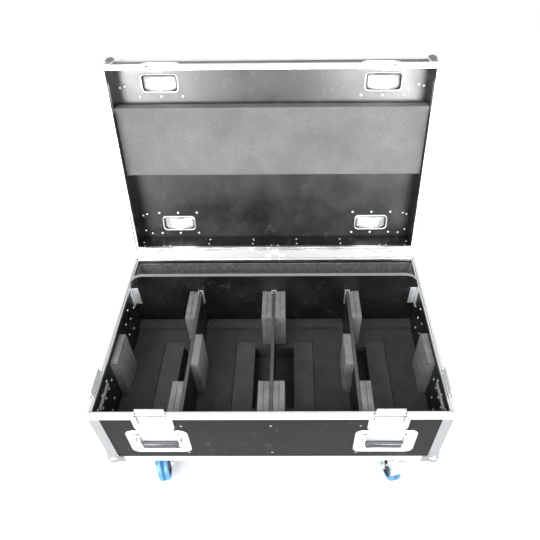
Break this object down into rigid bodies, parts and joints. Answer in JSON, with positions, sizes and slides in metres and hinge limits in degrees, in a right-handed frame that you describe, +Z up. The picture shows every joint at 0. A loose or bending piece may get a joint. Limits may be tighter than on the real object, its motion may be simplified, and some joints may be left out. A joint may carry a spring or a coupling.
{
  "type": "lighting flight case",
  "caption": "Black laminate flight case with aluminium edges, hinged lid, drop-in padded dividers, butterfly latches, sprung handles and swivel castors.",
  "frame": {"origin": "middle of the whole object's footprint at floor level, lid open", "axes": "+Z up, +X to the right seen from the front, +Y from the front face towards the hinges"},
  "size_m": [0.978, 0.8654, 0.9971],
  "materials": {
    "black_laminate": "black phenolic laminate on plywood",
    "satin_aluminium": "satin extrusion",
    "zinc_plated_steel": "bright zinc plate",
    "grey_foam": "mid-grey closed-cell foam",
    "black_grip": "ribbed black grip",
    "blue_tread": "blue elastic rubber tread"
  },
  "bodies": {
    "case_base": {"base_back_board": "black_laminate", "base_edge_extrusions": "satin_aluminium", "base_floor_board": "black_laminate", "base_front_board": "black_laminate", "base_left_board": "black_laminate", "base_right_board": "black_laminate", "base_rim_extrusion": "satin_aluminium", "castor_plate_front_left": "zinc_plated_steel", "castor_plate_front_right": "zinc_plated_steel", "castor_plate_rear_left": "zinc_plated_steel", "castor_plate_rear_right": "zinc_plated_steel", "fitted_base_foam": "grey_foam", "handle_dish_front_left": "zinc_plated_steel", "handle_dish_front_right": "zinc_plated_steel", "handle_dish_left_side": "zinc_plated_steel", "handle_dish_right_side": "zinc_plated_steel", "hinge_base_leaf_left": "zinc_plated_steel", "hinge_base_leaf_middle": "zinc_plated_steel", "hinge_base_leaf_right": "zinc_plated_steel", "latch_dish_front_left": "zinc_plated_steel", "latch_dish_front_right": "zinc_plated_steel", "latch_dish_left_side": "zinc_plated_steel", "latch_dish_right_side": "zinc_plated_steel", "rear_partition": "black_laminate"},
    "lid": {"castor_cup_front_left": "zinc_plated_steel", "castor_cup_front_right": "zinc_plated_steel", "castor_cup_rear_left": "zinc_plated_steel", "castor_cup_rear_right": "zinc_plated_steel", "hinge_lid_leaf_left": "zinc_plated_steel", "hinge_lid_leaf_middle": "zinc_plated_steel", "hinge_lid_leaf_right": "zinc_plated_steel", "lid_boards": "black_laminate", "lid_edge_extrusions": "satin_aluminium", "lid_foam_pad": "grey_foam", "lid_rim_extrusion": "satin_aluminium"},
    "divider_left": {"divider_left": "black_laminate"},
    "divider_middle": {"divider_middle": "black_laminate"},
    "divider_right": {"divider_right": "black_laminate"},
    "latch_key_front_left": {"latch_key_front_left": "zinc_plated_steel"},
    "latch_hook_front_left": {"latch_hook_front_left": "zinc_plated_steel"},
    "handle_bail_front_left": {"handle_bail_front_left": "black_grip"},
    "latch_key_front_right": {"latch_key_front_right": "zinc_plated_steel"},
    "latch_hook_front_right": {"latch_hook_front_right": "zinc_plated_steel"},
    "handle_bail_front_right": {"handle_bail_front_right": "black_grip"},
    "latch_key_left_side": {"latch_key_left_side": "zinc_plated_steel"},
    "latch_hook_left_side": {"latch_hook_left_side": "zinc_plated_steel"},
    "handle_bail_left_side": {"handle_bail_left_side": "black_grip"},
    "latch_key_right_side": {"latch_key_right_side": "zinc_plated_steel"},
    "latch_hook_right_side": {"latch_hook_right_side": "zinc_plated_steel"},
    "handle_bail_right_side": {"handle_bail_right_side": "black_grip"},
    "castor_fork_front_left": {"castor_fork_front_left": "zinc_plated_steel"},
    "castor_wheel_front_left": {"castor_wheel_front_left": "blue_tread"},
    "castor_fork_front_right": {"castor_fork_front_right": "zinc_plated_steel"},
    "castor_wheel_front_right": {"castor_wheel_front_right": "blue_tread"},
    "castor_fork_rear_left": {"castor_fork_rear_left": "zinc_plated_steel"},
    "castor_wheel_rear_left": {"castor_wheel_rear_left": "blue_tread"},
    "castor_fork_rear_right": {"castor_fork_rear_right": "zinc_plated_steel"},
    "castor_wheel_rear_right": {"castor_wheel_rear_right": "blue_tread"},
    "brake_pedal_front_right": {"brake_pedal_front_right": "zinc_plated_steel"},
    "brake_pedal_rear_right": {"brake_pedal_rear_right": "zinc_plated_steel"}
  },
  "joints": [
    {"name": "lid_hinge", "type": "hinge", "parent": "case_base", "child": "lid", "pos_m": [0, 0.21566, 0.3925], "axis": [1, 0, 0], "range_deg": [0, 101.6]},
    {"name": "divider_left_lift", "type": "slide", "parent": "case_base", "child": "divider_left", "axis": [0, 0, -1], "range_m": [-0.25, 0]},
    {"name": "divider_middle_lift", "type": "slide", "parent": "case_base", "child": "divider_middle", "axis": [0, 0, -1], "range_m": [-0.25, 0]},
    {"name": "divider_right_lift", "type": "slide", "parent": "case_base", "child": "divider_right", "axis": [0, 0, -1], "range_m": [-0.25, 0]},
    {"name": "latch_key_front_left_turn", "type": "hinge", "parent": "case_base", "child": "latch_key_front_left", "pos_m": [-0.3115, -0.39934, 0.3485], "axis": [0, 1, 0], "range_deg": [0, 180]},
    {"name": "latch_hook_front_left_draw", "type": "slide", "parent": "case_base", "child": "latch_hook_front_left", "axis": [0, 0.374, -0.9274], "range_m": [0, 0.00668]},
    {"name": "latch_key_front_right_turn", "type": "hinge", "parent": "case_base", "child": "latch_key_front_right", "pos_m": [0.3115, -0.39934, 0.3485], "axis": [0, 1, 0], "range_deg": [0, 180]},
    {"name": "latch_hook_front_right_draw", "type": "slide", "parent": "case_base", "child": "latch_hook_front_right", "axis": [0, 0.374, -0.9274], "range_m": [0, 0.00668]},
    {"name": "latch_key_left_side_turn", "type": "hinge", "parent": "case_base", "child": "latch_key_left_side", "pos_m": [-0.48, -0.30434, 0.3485], "axis": [1, 0, 0], "range_deg": [0, 180]},
    {"name": "latch_hook_left_side_draw", "type": "slide", "parent": "case_base", "child": "latch_hook_left_side", "axis": [0.374, 0, -0.9274], "range_m": [0, 0.00668]},
    {"name": "latch_key_right_side_turn", "type": "hinge", "parent": "case_base", "child": "latch_key_right_side", "pos_m": [0.48, -0.30434, 0.3485], "axis": [-1, 0, 0], "range_deg": [0, 180]},
    {"name": "latch_hook_right_side_draw", "type": "slide", "parent": "case_base", "child": "latch_hook_right_side", "axis": [-0.374, 0, -0.9274], "range_m": [0, 0.00668]},
    {"name": "handle_bail_front_left_swing", "type": "hinge", "parent": "case_base", "child": "handle_bail_front_left", "pos_m": [-0.314, -0.39634, 0.2725], "axis": [-1, 0, 0], "range_deg": [0, 90], "stiffness_Nm_per_rad": 0.25, "springref_deg": -28.65},
    {"name": "handle_bail_front_right_swing", "type": "hinge", "parent": "case_base", "child": "handle_bail_front_right", "pos_m": [0.314, -0.39634, 0.2725], "axis": [-1, 0, 0], "range_deg": [0, 90], "stiffness_Nm_per_rad": 0.25, "springref_deg": -28.65},
    {"name": "handle_bail_left_side_swing", "type": "hinge", "parent": "case_base", "child": "handle_bail_left_side", "pos_m": [-0.477, -0.09934, 0.3165], "axis": [0, 1, 0], "range_deg": [0, 90], "stiffness_Nm_per_rad": 0.25, "springref_deg": -28.65},
    {"name": "handle_bail_right_side_swing", "type": "hinge", "parent": "case_base", "child": "handle_bail_right_side", "pos_m": [0.477, -0.09934, 0.3165], "axis": [0, -1, 0], "range_deg": [0, 90], "stiffness_Nm_per_rad": 0.25, "springref_deg": -28.65},
    {"name": "castor_front_left_swivel", "type": "hinge", "parent": "case_base", "child": "castor_fork_front_left", "pos_m": [-0.35, -0.33004, 0], "axis": [0, 0, 1], "continuous": true},
    {"name": "castor_front_right_swivel", "type": "hinge", "parent": "case_base", "child": "castor_fork_front_right", "pos_m": [0.35, -0.33004, 0], "axis": [0, 0, 1], "continuous": true},
    {"name": "castor_rear_left_swivel", "type": "hinge", "parent": "case_base", "child": "castor_fork_rear_left", "pos_m": [-0.35, 0.13136, 0], "axis": [0, 0, 1], "continuous": true},
    {"name": "castor_rear_right_swivel", "type": "hinge", "parent": "case_base", "child": "castor_fork_rear_right", "pos_m": [0.35, 0.13136, 0], "axis": [0, 0, 1], "continuous": true},
    {"name": "castor_front_left_roll", "type": "hinge", "parent": "castor_fork_front_left", "child": "castor_wheel_front_left", "pos_m": [-0.34085, -0.37308, 0.05], "axis": [0.9781, 0.2079, 0], "continuous": true},
    {"name": "castor_front_right_roll", "type": "hinge", "parent": "castor_fork_front_right", "child": "castor_wheel_front_right", "pos_m": [0.35915, -0.37308, 0.05], "axis": [0.9781, 0.2079, 0], "continuous": true},
    {"name": "castor_rear_left_roll", "type": "hinge", "parent": "castor_fork_rear_left", "child": "castor_wheel_rear_left", "pos_m": [-0.37524, 0.09531, 0.05], "axis": [0.8192, -0.5736, 0], "continuous": true},
    {"name": "castor_rear_right_roll", "type": "hinge", "parent": "castor_fork_rear_right", "child": "castor_wheel_rear_right", "pos_m": [0.37524, 0.09531, 0.05], "axis": [0.8192, 0.5736, 0], "continuous": true},
    {"name": "brake_pedal_front_right_press", "type": "hinge", "parent": "castor_fork_front_right", "child": "brake_pedal_front_right", "pos_m": [0.35782, -0.36682, 0.1126], "axis": [0.9781, 0.2079, 0], "range_deg": [0, 12]},
    {"name": "brake_pedal_rear_right_press", "type": "hinge", "parent": "castor_fork_rear_right", "child": "brake_pedal_rear_right", "pos_m": [0.37157, 0.10056, 0.1126], "axis": [0.8192, 0.5736, 0], "range_deg": [0, 12]}
  ],
  "couplings": [
    {"joint": "latch_key_front_left_turn", "follows": "latch_hook_front_left_draw", "rad_per_m": 469.94},
    {"joint": "latch_key_front_right_turn", "follows": "latch_hook_front_right_draw", "rad_per_m": 469.94},
    {"joint": "latch_key_left_side_turn", "follows": "latch_hook_left_side_draw", "rad_per_m": 469.94},
    {"joint": "latch_key_right_side_turn", "follows": "latch_hook_right_side_draw", "rad_per_m": 469.94}
  ]
}
